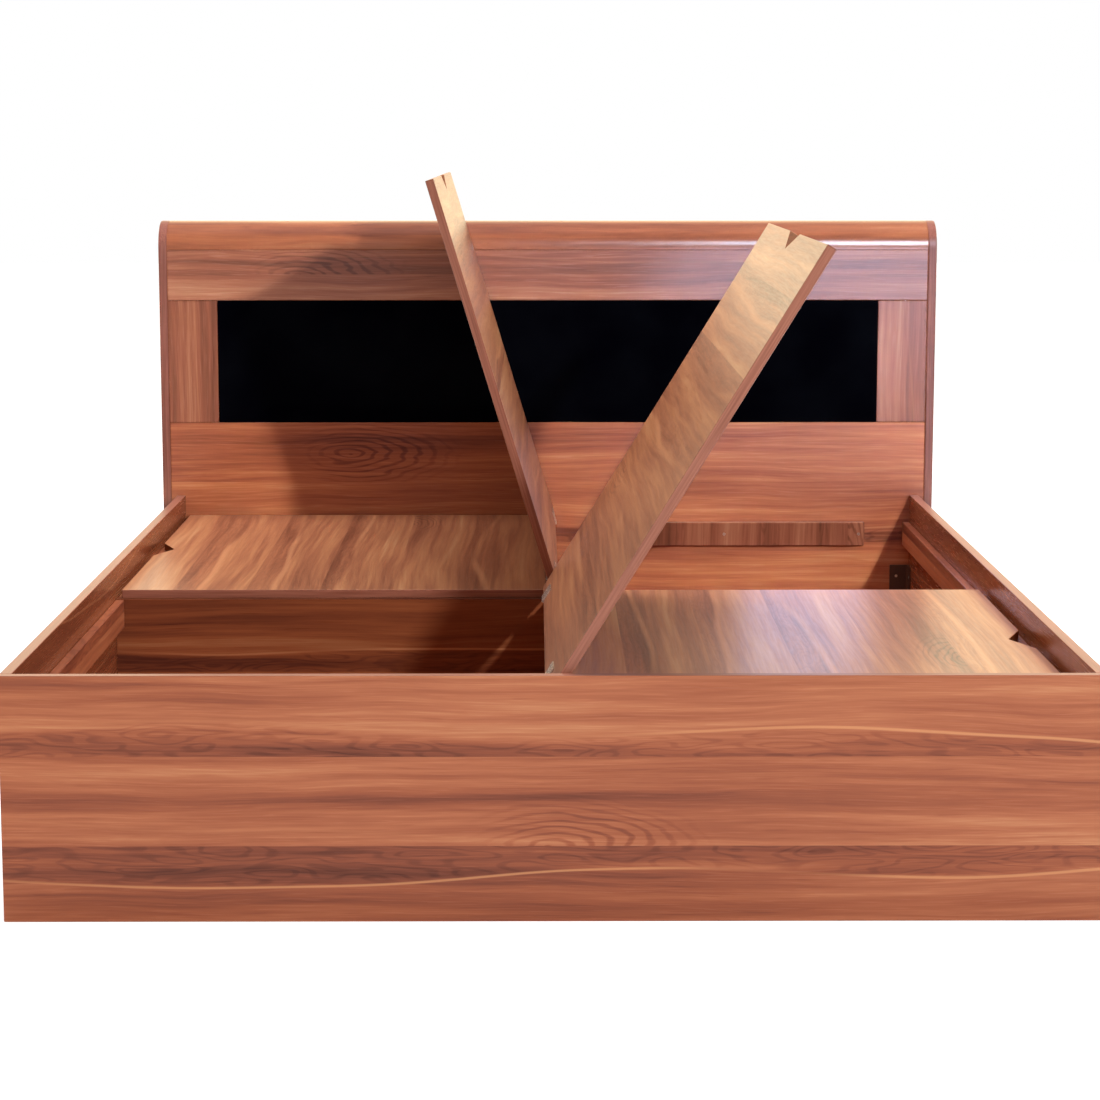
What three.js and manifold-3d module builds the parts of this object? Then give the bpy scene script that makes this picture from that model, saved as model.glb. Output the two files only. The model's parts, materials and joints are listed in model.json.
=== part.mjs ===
// Storage bed for a queen size mattress: a hollow headboard with a rounded top and a dark glass
// band, side rails, a footboard, and four storage compartments under four hinged lids.
// Millimetres, +Z up, +Y towards the headboard, +X to the right seen from the foot end.
// The origin lies on the floor, under the middle of the bed.
import * as THREE from 'three';
import { mergeVertices } from 'three/addons/utils/BufferGeometryUtils.js';
import Module from 'manifold-3d';

const wasm = await Module();
wasm.setup();

// Mattress and the room round it
const mattressWidth = 1524;
const mattressLength = 1981;
const mattressSideRoom = 13;
const mattressEndRoom = 2;
const mattressRecess = 42;

// Boards
const boardThickness = 18;
const lidThickness = 15;
const ledgerThickness = 15;
const backThickness = 6;
const basePanelThickness = 9;
const arris = 1.2;
const seatGap = 0.3;
const cutOverrun = 2;

// Heights above the floor
const railTop = 361;
const headboardTop = 943;
const glassBottom = 518;
const glassTop = 777;

// Headboard
const headboardOverhang = 30;
const bullnoseRadius = 59;
const headboardFlatTop = 18;
const stileWidth = 104;
const glassThickness = 5;
const corePostWidth = 50;
const coreRailHeight = 60;
const bullnoseSteps = 10;

// Dividers, ledgers and base
const dividerDrop = 5;
const ledgerHeight = 50;
const shortLedgerInset = 68;
const shortLedgerRailGap = 98;
const longLedgerEndGap = 6;
const cleatSize = 25;
const basePanelUnderside = 30;

// Lids
const lidEndGap = 3;
const lidRowGap = 3;
const lidFreeGap = 9;
const notchWidth = 162;
const notchDepth = 30;
const notchApexRadius = 9;
const notchShoulderRadius = 14;
const notchArcSteps = 4;
const rearRightOpenDeg = 106.9;
const frontLeftOpenDeg = 121.5;

// Hinges: a knuckle on a pin, one leaf wrapped over the divider and one wrapped under the lid
const pinOffset = 5;
const pinDepth = 3.3;
const knuckleRadius = 3;
const knuckleSides = 12;
const pinRadius = 1.4;
const pinClearance = 0.35;
const leafThickness = 1.5;
const leafLength = 60;
const leafReach = 26;
const leafDrop = 24;
const knuckleAxialGap = 0.4;
const knuckleSwingGap = 0.6;
const hingeInset = 130;
const hingeScrewPitch = 36;

// Screw holes and corner brackets
const holeSides = 10;
const countersinkDepthShare = 0.8;
const leafHoleRadius = 1.6;
const leafCountersinkRadius = 3;
const bracketHoleRadius = 2;
const bracketCountersinkRadius = 3.6;
const bracketLeg = 40;
const bracketHeight = 120;
const bracketThickness = 2;
const bracketBase = 90;
const bracketRootRadius = 3;
const bracketHoleMargin = 26;
const bracketHoleShares = [0.2, 0.8];

// Worked out from the sizes above
const innerWidth = mattressWidth + 2 * mattressSideRoom;
const innerLength = mattressLength + 2 * mattressEndRoom;
const headboardDepth = bullnoseRadius + headboardFlatTop;
const totalLength = headboardDepth + innerLength + boardThickness;
const backY = totalLength / 2;
const headY = backY - headboardDepth;
const footY = headY - innerLength;
const frontY = footY - boardThickness;
const midY = (headY + footY) / 2;
const railInnerX = innerWidth / 2;
const railOuterX = railInnerX + boardThickness;
const headboardHalfWidth = railOuterX + headboardOverhang;
const capInnerX = headboardHalfWidth - boardThickness;
const bullnoseSeam = headboardTop - bullnoseRadius;
const lidTop = railTop - mattressRecess;
const lidUnderside = lidTop - lidThickness;
const ledgerTop = lidUnderside - seatGap;
const centreTop = lidUnderside - dividerDrop;
const halfBoard = boardThickness / 2;
const pinZ = lidTop - pinDepth;
const lidHingeEdge = knuckleRadius + seatGap;
const lidFreeEdge = railInnerX - lidFreeGap - pinOffset;
const boreRadius = pinRadius + pinClearance;

// Laminates, metals and glass of the bed
const finishes = {
  walnut: { color: '#a5624a', roughness: 0.32, metalness: 0 },
  walnutDeep: { color: '#8f5238', roughness: 0.32, metalness: 0 },
  walnutTop: { color: '#c9855f', roughness: 0.25, metalness: 0 },
  rawBoard: { color: '#b9916a', roughness: 0.8, metalness: 0 },
  blackGlass: { color: '#050507', roughness: 0.05, metalness: 0 },
  steel: { color: '#c3c5c8', roughness: 0.35, metalness: 1 },
};

// Joining and cutting

function bare(geometry) {
  const plain = geometry.index ? geometry.toNonIndexed() : geometry.clone();
  plain.deleteAttribute('normal');
  plain.deleteAttribute('uv');
  return mergeVertices(plain);
}

function toSolid(geometry) {
  const merged = bare(geometry);
  const vertProperties = new Float32Array(merged.attributes.position.array);
  const triVerts = new Uint32Array(merged.index.array);
  return new wasm.Manifold(new wasm.Mesh({ numProp: 3, vertProperties, triVerts }));
}

function toGeometry(solid) {
  const { vertProperties, triVerts } = solid.getMesh();
  const geometry = new THREE.BufferGeometry();
  geometry.setAttribute('position', new THREE.BufferAttribute(vertProperties, 3));
  geometry.setIndex(new THREE.BufferAttribute(triVerts, 1));
  return geometry;
}

function cut(geometry, tools) {
  const whole = tools.reduce((solid, tool) => solid.subtract(toSolid(tool)), toSolid(geometry));
  return toGeometry(whole);
}

function join(geometries) {
  const [first, ...rest] = geometries.map(toSolid);
  return toGeometry(rest.reduce((solid, next) => solid.add(next), first));
}

// Extrusions along each axis, from one value of it to another

function extruded(shape, length, bevel = 0) {
  return new THREE.ExtrudeGeometry(shape, {
    depth: length - 2 * bevel,
    steps: 1,
    curveSegments: bullnoseSteps,
    bevelEnabled: bevel > 0,
    bevelThickness: bevel,
    bevelSize: bevel,
    bevelOffset: -bevel,
    bevelSegments: 1,
  }).translate(0, 0, bevel);
}

function alongX(shapeYZ, x0, x1, bevel = 0) {
  const turn = new THREE.Matrix4().makeBasis(
    new THREE.Vector3(0, 1, 0), new THREE.Vector3(0, 0, 1), new THREE.Vector3(1, 0, 0));
  return extruded(shapeYZ, x1 - x0, bevel).applyMatrix4(turn).translate(x0, 0, 0);
}

function alongY(shapeXZ, y0, y1) {
  const turn = new THREE.Matrix4().makeBasis(
    new THREE.Vector3(1, 0, 0), new THREE.Vector3(0, 0, 1), new THREE.Vector3(0, -1, 0));
  return extruded(shapeXZ, y1 - y0).applyMatrix4(turn).translate(0, y1, 0);
}

function alongZ(shapeXY, z0, z1, bevel = 0) {
  return extruded(shapeXY, z1 - z0, bevel).translate(0, 0, z0);
}

function polygon(points) {
  return new THREE.Shape(points.map(([a, b]) => new THREE.Vector2(a, b)));
}

// A straight board between two corners, with a small flat arris along every edge

function board(low, high, edge = arris) {
  const [x0, y0, z0] = low;
  const [x1, y1, z1] = high;
  const outline = polygon([
    [x0 + edge, y0], [x1 - edge, y0], [x1, y0 + edge], [x1, y1 - edge],
    [x1 - edge, y1], [x0 + edge, y1], [x0, y1 - edge], [x0, y0 + edge],
  ]);
  return alongZ(outline, z0, z1, edge);
}

function plainBoard(low, high) {
  const size = high.map((value, axis) => value - low[axis]);
  const middle = high.map((value, axis) => (value + low[axis]) / 2);
  return new THREE.BoxGeometry(...size).translate(...middle);
}

// A countersunk hole through a plate, wide where the screw head sits. The place lies on the
// plate's outer face, and the direction points into the plate.

function countersunk(place, direction, radius, headRadius, plate) {
  const profile = [
    new THREE.Vector2(0, -plate - cutOverrun),
    new THREE.Vector2(radius, -plate - cutOverrun),
    new THREE.Vector2(radius, -plate * countersinkDepthShare),
    new THREE.Vector2(headRadius, 0),
    new THREE.Vector2(headRadius, cutOverrun),
    new THREE.Vector2(0, cutOverrun),
  ];
  const down = new THREE.Vector3(0, -1, 0);
  const turn = new THREE.Quaternion().setFromUnitVectors(down, direction);
  const hole = new THREE.LatheGeometry(profile, holeSides);
  return hole.applyQuaternion(turn).translate(place.x, place.y, place.z);
}

const towards = {
  left: new THREE.Vector3(-1, 0, 0),
  right: new THREE.Vector3(1, 0, 0),
  foot: new THREE.Vector3(0, -1, 0),
  head: new THREE.Vector3(0, 1, 0),
  up: new THREE.Vector3(0, 0, 1),
};

// The scene graph

const bed = new THREE.Group();

function addPiece(parent, name, geometry, finish) {
  const mesh = new THREE.Mesh(bare(geometry), new THREE.MeshStandardMaterial(finishes[finish]));
  mesh.name = name;
  mesh.geometry.computeVertexNormals();
  parent.add(mesh);
  return mesh;
}

const sides = [{ side: 'left', s: -1 }, { side: 'right', s: 1 }];
const rows = [
  { row: 'rear', headEnd: headY, footEnd: midY },
  { row: 'front', headEnd: midY, footEnd: footY },
];

// Low and high values of a stretch measured outwards from the middle of the bed

function span(s, inner, outer) {
  return [Math.min(s * inner, s * outer), Math.max(s * inner, s * outer)];
}

// Ledgers that carry the lids' edges

function shortLedger(s, wallY, inward) {
  const [x0, x1] = span(s, halfBoard + shortLedgerInset, railInnerX - shortLedgerRailGap);
  const [y0, y1] = [wallY + inward * seatGap, wallY + inward * (seatGap + ledgerThickness)];
  return board(
    [x0, Math.min(y0, y1), ledgerTop - ledgerHeight], [x1, Math.max(y0, y1), ledgerTop]);
}

function longLedger(s, headStop, footStop) {
  const outerX = railInnerX - seatGap;
  const [x0, x1] = span(s, outerX - ledgerThickness, outerX);
  return board(
    [x0, footStop + longLedgerEndGap, ledgerTop - ledgerHeight],
    [x1, headStop - longLedgerEndGap, ledgerTop]);
}

function buildLedgers() {
  for (const { side, s } of sides) {
    addPiece(bed, `head_ledger_${side}`, shortLedger(s, headY, -1), 'walnutDeep');
    addPiece(bed, `foot_ledger_${side}`, shortLedger(s, footY, 1), 'walnutDeep');
    const rear = longLedger(s, headY, midY + halfBoard);
    addPiece(bed, `rail_ledger_rear_${side}`, rear, 'walnutDeep');
    const front = longLedger(s, midY - halfBoard, footY);
    addPiece(bed, `rail_ledger_front_${side}`, front, 'walnutDeep');
  }
}

// Steel corner brackets that tie the rails to the headboard and the footboard

function cornerBracket(s, wallY, inward) {
  const place = ([dx, dy]) =>
    [s * (railInnerX - seatGap - dx), wallY + inward * (seatGap + dy)];
  const t = bracketThickness;
  const outline = polygon([
    [0, 0], [bracketLeg, 0], [bracketLeg, t], [t + bracketRootRadius, t],
    [t, t + bracketRootRadius], [t, bracketLeg], [0, bracketLeg],
  ].map(place));
  const plate = alongZ(outline, bracketBase, bracketBase + bracketHeight);
  const hole = ([x, y], z, into) => countersunk(
    new THREE.Vector3(x, y, z), into, bracketHoleRadius, bracketCountersinkRadius, t);
  const holes = bracketHoleShares.flatMap((share) => {
    const z = bracketBase + share * bracketHeight;
    return [
      hole(place([t, bracketHoleMargin]), z, s > 0 ? towards.right : towards.left),
      hole(place([bracketHoleMargin, t]), z, inward < 0 ? towards.head : towards.foot),
    ];
  });
  return cut(plate, holes);
}

function buildBrackets() {
  for (const { side, s } of sides) {
    addPiece(bed, `corner_bracket_head_${side}`, cornerBracket(s, headY, -1), 'steel');
    addPiece(bed, `corner_bracket_foot_${side}`, cornerBracket(s, footY, 1), 'steel');
  }
}

// Headboard

const frontSkinBack = headY + boardThickness;
const backPanelFront = backY - backThickness;
const coreFront = frontSkinBack + seatGap;
const coreBack = backPanelFront - seatGap;
const skinHalfWidth = capInnerX - seatGap;

function capProfile() {
  const outline = new THREE.Shape();
  outline.moveTo(headY, 0);
  outline.lineTo(backY, 0);
  outline.lineTo(backY, headboardTop);
  outline.lineTo(headY + bullnoseRadius, headboardTop);
  outline.absarc(headY + bullnoseRadius, bullnoseSeam, bullnoseRadius, Math.PI / 2, Math.PI, false);
  return outline;
}

function mouldingProfile() {
  const centreY = headY + bullnoseRadius;
  const innerRadius = bullnoseRadius - boardThickness;
  const outline = new THREE.Shape();
  outline.moveTo(frontSkinBack, bullnoseSeam);
  outline.lineTo(headY, bullnoseSeam);
  outline.absarc(centreY, bullnoseSeam, bullnoseRadius, Math.PI, Math.PI / 2, true);
  outline.lineTo(backY, headboardTop);
  outline.lineTo(backY, headboardTop - boardThickness);
  outline.lineTo(centreY, headboardTop - boardThickness);
  outline.absarc(centreY, bullnoseSeam, innerRadius, Math.PI / 2, Math.PI, false);
  return outline;
}

function buildHeadboard() {
  const skin = (x0, z0, x1, z1) => board([x0, headY, z0], [x1, frontSkinBack, z1]);
  const stileX = skinHalfWidth - stileWidth;
  const glassX = stileX - seatGap;
  const lower = skin(-skinHalfWidth, 0, skinHalfWidth, glassBottom - seatGap);
  addPiece(bed, 'headboard_lower_panel', lower, 'walnut');
  const upper = skin(-skinHalfWidth, glassTop + seatGap, skinHalfWidth, bullnoseSeam - seatGap);
  addPiece(bed, 'headboard_upper_panel', upper, 'walnut');
  for (const { side, s } of sides) {
    const [x0, x1] = span(s, stileX, skinHalfWidth);
    const stile = skin(x0, glassBottom, x1, glassTop);
    addPiece(bed, `headboard_stile_${side}`, stile, 'walnut');
    const cap = alongX(capProfile(), ...span(s, capInnerX, headboardHalfWidth), arris);
    addPiece(bed, `headboard_side_cap_${side}`, cap, 'walnut');
  }
  const glassBack = headY + glassThickness;
  const pane = board([-glassX, headY, glassBottom], [glassX, glassBack, glassTop]);
  addPiece(bed, 'glass_band', pane, 'blackGlass');
  const backing = plainBoard(
    [-glassX, glassBack + seatGap, glassBottom], [glassX, frontSkinBack, glassTop]);
  addPiece(bed, 'glass_backing_board', backing, 'rawBoard');
  const moulding = alongX(mouldingProfile(), -skinHalfWidth, skinHalfWidth);
  addPiece(bed, 'headboard_top_moulding', moulding, 'walnutTop');
  const backTop = headboardTop - boardThickness - seatGap;
  const back = plainBoard(
    [-skinHalfWidth, backPanelFront, 0], [skinHalfWidth, backY, backTop]);
  addPiece(bed, 'headboard_back_panel', back, 'rawBoard');
  const core = (x0, z0, x1, z1) => plainBoard([x0, coreFront, z0], [x1, coreBack, z1]);
  const railLow = coreRailHeight;
  const railHigh = bullnoseSeam - coreRailHeight;
  addPiece(bed, 'headboard_core_bottom_rail',
    core(-skinHalfWidth, 0, skinHalfWidth, railLow), 'rawBoard');
  addPiece(bed, 'headboard_core_top_rail',
    core(-skinHalfWidth, railHigh, skinHalfWidth, bullnoseSeam), 'rawBoard');
  const postInset = skinHalfWidth - corePostWidth / 2;
  for (const [place, x] of [['left', -postInset], ['centre', 0], ['right', postInset]]) {
    const post = core(x - corePostWidth / 2, railLow + seatGap,
      x + corePostWidth / 2, railHigh - seatGap);
    addPiece(bed, `headboard_core_post_${place}`, post, 'rawBoard');
  }
}

// Rails, footboard, dividers and base

function buildBox() {
  for (const { side, s } of sides) {
    const [x0, x1] = span(s, railInnerX, railOuterX);
    const rail = board([x0, footY + seatGap, 0], [x1, headY - seatGap, railTop]);
    addPiece(bed, `side_rail_${side}`, rail, 'walnut');
  }
  const foot = board([-railOuterX, frontY, 0], [railOuterX, footY, railTop]);
  addPiece(bed, 'footboard', foot, 'walnut');

  const baseTop = basePanelUnderside + basePanelThickness;
  const crossLow = baseTop + seatGap;
  const halving = (crossLow + ledgerTop) / 2;
  const slotHalf = halfBoard + seatGap;
  const cross = plainBoard(
    [-railInnerX + seatGap, midY - halfBoard, crossLow],
    [railInnerX - seatGap, midY + halfBoard, ledgerTop]);
  const crossSlot = plainBoard(
    [-slotHalf, midY - slotHalf, crossLow - cutOverrun],
    [slotHalf, midY + slotHalf, halving + seatGap]);
  addPiece(bed, 'cross_divider', cut(cross, [crossSlot]), 'walnutDeep');
  const centre = plainBoard(
    [-halfBoard, footY + seatGap, 0], [halfBoard, headY - seatGap, centreTop]);
  const centreSlot = plainBoard(
    [-slotHalf, midY - slotHalf, halving], [slotHalf, midY + slotHalf, centreTop + cutOverrun]);
  addPiece(bed, 'centre_divider', cut(centre, [centreSlot]), 'walnutDeep');

  for (const { side, s } of sides) {
    const [px0, px1] = span(s, halfBoard + seatGap, railInnerX - seatGap);
    const panel = plainBoard(
      [px0, footY + seatGap, basePanelUnderside], [px1, headY - seatGap, baseTop]);
    addPiece(bed, `base_panel_${side}`, panel, 'walnutDeep');
    const cleatTop = basePanelUnderside - seatGap;
    const cleat = ([x0, x1]) => plainBoard(
      [x0, footY + seatGap, cleatTop - cleatSize], [x1, headY - seatGap, cleatTop]);
    const outer = span(s, railInnerX - seatGap - cleatSize, railInnerX - seatGap);
    const inner = span(s, halfBoard + seatGap, halfBoard + seatGap + cleatSize);
    addPiece(bed, `base_cleat_outer_${side}`, cleat(outer), 'rawBoard');
    addPiece(bed, `base_cleat_inner_${side}`, cleat(inner), 'rawBoard');
  }
}

// Hinges. Places are given from the pin, with dx growing towards the lid's free edge.

const hingeEnds = ['head_end', 'foot_end'];

function hingeCentres({ headEnd, footEnd }) {
  const headGap = headEnd === midY ? lidRowGap / 2 : lidEndGap;
  const footGap = footEnd === midY ? lidRowGap / 2 : lidEndGap;
  return [headEnd - headGap - hingeInset, footEnd + footGap + hingeInset];
}

function bar(radius, y0, y1, sideCount = knuckleSides) {
  return new THREE.CylinderGeometry(radius, radius, y1 - y0, sideCount)
    .rotateY(Math.PI / sideCount).translate(0, (y0 + y1) / 2, 0);
}

const knuckleSpan = leafLength / 3;
const knuckleHalf = knuckleSpan / 2 - knuckleAxialGap / 2;
const clearHalf = knuckleSpan / 2 + knuckleAxialGap / 2;
const leafHalf = leafLength / 2;
const swingRadius = knuckleRadius + knuckleSwingGap;

function fixedLeafProfile(s) {
  const inner = -knuckleRadius;
  const top = centreTop + seatGap + leafThickness - pinZ;
  const low = centreTop + seatGap - pinZ;
  const wrap = halfBoard + seatGap - pinOffset;
  return polygon([
    [inner, 0], [inner + leafThickness, 0], [inner + leafThickness, top],
    [wrap + leafThickness, top], [wrap + leafThickness, low - leafDrop],
    [wrap, low - leafDrop], [wrap, low], [inner, low],
  ].map(([dx, dz]) => [s * dx, dz]));
}

function movingLeafProfile(s) {
  const top = -(lidThickness - pinDepth) - seatGap;
  const reach = knuckleRadius + leafReach;
  return polygon([
    [knuckleRadius - leafThickness, 0], [knuckleRadius, 0], [knuckleRadius, top],
    [reach, top], [reach, top - leafThickness], [knuckleRadius - leafThickness, top - leafThickness],
  ].map(([dx, dz]) => [s * dx, dz]));
}

const holeStations = [-hingeScrewPitch / 2, hingeScrewPitch / 2];

function leafHole(x, y, z, into) {
  return countersunk(
    new THREE.Vector3(x, y, z), into, leafHoleRadius, leafCountersinkRadius, leafThickness);
}

function fixedLeaf(s) {
  const plate = alongY(fixedLeafProfile(s), -leafHalf, leafHalf);
  const knuckles = [bar(knuckleRadius, -leafHalf, -clearHalf), bar(knuckleRadius, clearHalf, leafHalf)];
  const opening = bar(swingRadius, -clearHalf, clearHalf);
  const face = s * (halfBoard + seatGap + leafThickness - pinOffset);
  const height = centreTop - leafDrop / 2 - pinZ;
  const into = s > 0 ? towards.left : towards.right;
  const holes = holeStations.map((y) => leafHole(face, y, height, into));
  const pin = bar(pinRadius, -leafHalf, leafHalf);
  return join([cut(plate, [opening, ...holes]), ...knuckles, pin]);
}

function movingLeaf(s) {
  const plate = alongY(movingLeafProfile(s), -leafHalf, leafHalf);
  const openings = [
    bar(swingRadius, -leafHalf - cutOverrun, -knuckleHalf),
    bar(swingRadius, knuckleHalf, leafHalf + cutOverrun),
  ];
  const x = s * (knuckleRadius + leafReach / 2);
  const under = pinDepth - lidThickness - seatGap - leafThickness;
  const holes = holeStations.map((y) => leafHole(x, y, under, towards.up));
  const knuckle = bar(knuckleRadius, -knuckleHalf, knuckleHalf);
  const bore = bar(boreRadius, -leafHalf - cutOverrun, leafHalf + cutOverrun);
  return cut(join([cut(plate, [...openings, ...holes]), knuckle]), [bore]);
}

function buildFixedLeaves() {
  for (const { side, s } of sides) {
    for (const row of rows) {
      hingeCentres(row).forEach((y, i) => {
        const leaf = fixedLeaf(s).translate(s * pinOffset, y, pinZ);
        addPiece(bed, `hinge_fixed_leaf_${row.row}_${side}_${hingeEnds[i]}`, leaf, 'steel');
      });
    }
  }
}

// Lids. Each one is a group on its hinge line, turned to the angle it stands at in the photograph.

function notchedOutline(s, y0, y1) {
  const middle = (y0 + y1) / 2;
  const half = notchWidth / 2;
  const flank = Math.atan2(notchDepth, half);
  const shoulder = notchShoulderRadius * Math.tan(flank / 2);
  const root = notchApexRadius * Math.tan(flank / 2);
  const along = (distance) => [distance * Math.cos(flank), distance * Math.sin(flank)];
  const edge = [];
  const upper = [];
  const steps = (from, control, to) => {
    const curve = new THREE.QuadraticBezierCurve(from, control, to);
    return curve.getPoints(notchArcSteps).map(({ x, y }) => [x, y]);
  };
  const [shoulderY, shoulderX] = along(shoulder);
  const [rootY, rootX] = along(root);
  upper.push(...steps(
    new THREE.Vector2(lidFreeEdge, half + shoulder),
    new THREE.Vector2(lidFreeEdge, half),
    new THREE.Vector2(lidFreeEdge - shoulderX, half - shoulderY)));
  upper.push(...steps(
    new THREE.Vector2(lidFreeEdge - notchDepth + rootX, rootY),
    new THREE.Vector2(lidFreeEdge - notchDepth, 0),
    new THREE.Vector2(lidFreeEdge - notchDepth + rootX, -rootY)));
  const lower = upper.slice(0, notchArcSteps + 1).map(([x, y]) => [x, -y]).reverse();
  edge.push([lidHingeEdge, y0], [lidHingeEdge, y1], [lidFreeEdge, y1]);
  edge.push(...[...upper, ...lower].map(([x, y]) => [x, middle + y]));
  edge.push([lidFreeEdge, y0]);
  return polygon(edge.map(([x, y]) => [s * x, y]));
}

function buildLid({ side, s }, row, openDeg) {
  const headGap = row.headEnd === midY ? lidRowGap / 2 : lidEndGap;
  const footGap = row.footEnd === midY ? lidRowGap / 2 : lidEndGap;
  const y0 = row.footEnd + footGap;
  const y1 = row.headEnd - headGap;
  const hung = new THREE.Group();
  hung.position.set(s * pinOffset, 0, pinZ);
  hung.rotation.y = -s * THREE.MathUtils.degToRad(openDeg);
  bed.add(hung);
  const panel = alongZ(notchedOutline(s, y0, y1), pinDepth - lidThickness, pinDepth, arris);
  addPiece(hung, `lid_${row.row}_${side}`, panel, 'walnut');
  hingeCentres(row).forEach((y, i) => {
    const leaf = movingLeaf(s).translate(0, y, 0);
    addPiece(hung, `hinge_moving_leaf_${row.row}_${side}_${hingeEnds[i]}`, leaf, 'steel');
  });
}

const openAngles = { rear_right: rearRightOpenDeg, front_left: frontLeftOpenDeg };

buildHeadboard();
buildBox();
buildLedgers();
buildBrackets();
buildFixedLeaves();
for (const place of sides) {
  for (const row of rows) buildLid(place, row, openAngles[`${row.row}_${place.side}`] ?? 0);
}

export default bed;
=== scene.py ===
"""Storage bed in walnut laminate with a dark glass band and four hinged storage lids.

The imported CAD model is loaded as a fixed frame. This script models the boards that show their
edge banding, the screws and the stage, and gives every surface its finish. Metres, +Z up,
+Y towards the headboard.
"""
from collections.abc import Callable, Iterable, Sequence
from dataclasses import dataclass, field
from enum import Enum
from functools import partial
import json
import logging
import math
from typing import Any

import bmesh
import bpy
from bpy.types import Material, Node, NodeSocket, NodeTree, Object, World
from mathutils import Matrix, Vector

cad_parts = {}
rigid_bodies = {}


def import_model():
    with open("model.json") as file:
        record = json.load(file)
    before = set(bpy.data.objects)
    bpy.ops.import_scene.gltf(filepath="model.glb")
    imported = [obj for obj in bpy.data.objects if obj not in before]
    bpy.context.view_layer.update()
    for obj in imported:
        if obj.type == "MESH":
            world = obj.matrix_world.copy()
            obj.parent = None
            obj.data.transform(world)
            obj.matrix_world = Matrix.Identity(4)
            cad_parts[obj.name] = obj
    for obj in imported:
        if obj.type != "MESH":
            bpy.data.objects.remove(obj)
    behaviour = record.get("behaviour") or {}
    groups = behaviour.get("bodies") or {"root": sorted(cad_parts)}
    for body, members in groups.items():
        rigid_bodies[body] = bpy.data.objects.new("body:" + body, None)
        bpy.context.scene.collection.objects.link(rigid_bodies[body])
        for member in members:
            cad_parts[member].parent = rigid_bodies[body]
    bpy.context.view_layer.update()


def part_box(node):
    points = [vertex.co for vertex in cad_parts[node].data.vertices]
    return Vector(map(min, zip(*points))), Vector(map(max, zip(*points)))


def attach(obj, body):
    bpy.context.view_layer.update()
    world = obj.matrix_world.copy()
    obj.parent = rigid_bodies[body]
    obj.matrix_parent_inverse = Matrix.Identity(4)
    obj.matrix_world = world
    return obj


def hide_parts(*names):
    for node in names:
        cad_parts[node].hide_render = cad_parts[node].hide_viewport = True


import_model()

BED_BODY = "bed_box"

log = logging.getLogger("storage_bed")

Point = tuple[float, float, float]
Span = tuple[float, float]
Stops = tuple[tuple[float, str], ...]
# A screw's place and the way that it faces.
Seat = tuple[Vector, Vector]

MATH = "ShaderNodeMath"
NOISE = "ShaderNodeTexNoise"
RAMP = "ShaderNodeValToRGB"
RANGE = "ShaderNodeMapRange"
SMOOTHLY = {"interpolation_type": "SMOOTHSTEP"}
WHITE = (1.0, 1.0, 1.0, 1.0)

# Points closer than WELD are joined, and those within NEAR of a place lie there, in metres.
WELD = 0.00001
NEAR = 0.0001
# Faces that meet at more than CORNER_DEG get an arris, and below CURVE_DEG a smooth shade.
CORNER_DEG = 50.0
CURVE_DEG = 15.0
# A board's large faces look along an axis this exactly and have this area, in square metres.
SQUARE = 0.99999
BOARD_FACE = 0.0004
# How often the lines of a banding change in a metre, along them and across them.
ALONG = 9.0
ACROSS = 420.0

# Tones of the walnut print, from its darkest lines to its palest. The boards differ, so some
# have tones of their own. SHADE_DARKENED_TONES is the same print darkened as painted shade, for
# the boards inside the box, the rails and the rounded top.
MIDDLE_TONES: Stops = (
    (0.0, "#52291d"), (0.27, "#7a422f"), (0.5, "#9b593d"), (0.7, "#b46f4b"), (1.0, "#cf936a"))
SHADE_DARKENED_TONES: Stops = (
    (0.0, "#42201a"), (0.27, "#613324"), (0.5, "#7f462d"), (0.7, "#945636"), (1.0, "#ab744f"))
PALE_TONES: Stops = (
    (0.0, "#5d3225"), (0.27, "#864b37"), (0.5, "#a25e42"), (0.7, "#b67150"), (1.0, "#cf946b"))
LID_TONES: Stops = (
    (0.0, "#54301f"), (0.27, "#7e4c36"), (0.5, "#9f6547"), (0.7, "#b67b54"), (1.0, "#d0a174"))
GREYER_TONES: Stops = (
    (0.0, "#4c2a20"), (0.27, "#6e412f"), (0.5, "#8b543f"), (0.7, "#a2694f"), (1.0, "#be8b6b"))


# Colours and nodes


def linear(code: str) -> tuple[float, float, float, float]:
    """Turn an sRGB hex colour into linear RGBA.

    Args:
        code: the colour as six hex digits after a hash.

    Returns:
        Red, green, blue and alpha for a shader socket.
    """
    parts = [int(code[i:i + 2], 16) / 255 for i in (1, 3, 5)]
    values = [p / 12.92 if p <= 0.04045 else ((p + 0.055) / 1.055) ** 2.4 for p in parts]
    return (values[0], values[1], values[2], 1.0)


def add_node(
    tree: NodeTree, kind: str, inputs: dict[int | str, Any] | Sequence[Any] = (),
    **settings: Any,
) -> Node:
    """Add one node with its settings, its socket values and its incoming links.

    Args:
        tree: the node tree to add to.
        kind: the node's type name.
        inputs: values or sockets to link from, in the order of the inputs or else by name or
            number. A node stands for its first output.
        **settings: attributes of the node, such as its operation.

    Returns:
        The new node.
    """
    node = tree.nodes.new(kind)
    for name, value in settings.items():
        setattr(node, name, value)
    for key, value in inputs.items() if isinstance(inputs, dict) else enumerate(inputs):
        if isinstance(value, Node):
            value = value.outputs[0]
        if isinstance(value, NodeSocket):
            tree.links.new(value, node.inputs[key])
        else:
            node.inputs[key].default_value = value
    return node


def set_stops(node: Node, stops: Stops) -> Node:
    """Give a colour ramp its stops.

    Args:
        node: the ramp.
        stops: each stop's place from 0 to 1 and its hex colour.

    Returns:
        The same ramp.
    """
    elements = node.color_ramp.elements
    while len(elements) < len(stops):
        elements.new(1.0)
    for element, (place, code) in zip(elements, stops):
        element.position = place
        element.color = linear(code)
    return node


def emptied_tree(owner: Material | World) -> NodeTree:
    """Turn a material's or a world's nodes on, and take out those that it came with."""
    owner.use_nodes = True
    owner.node_tree.nodes.clear()
    return owner.node_tree


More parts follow.
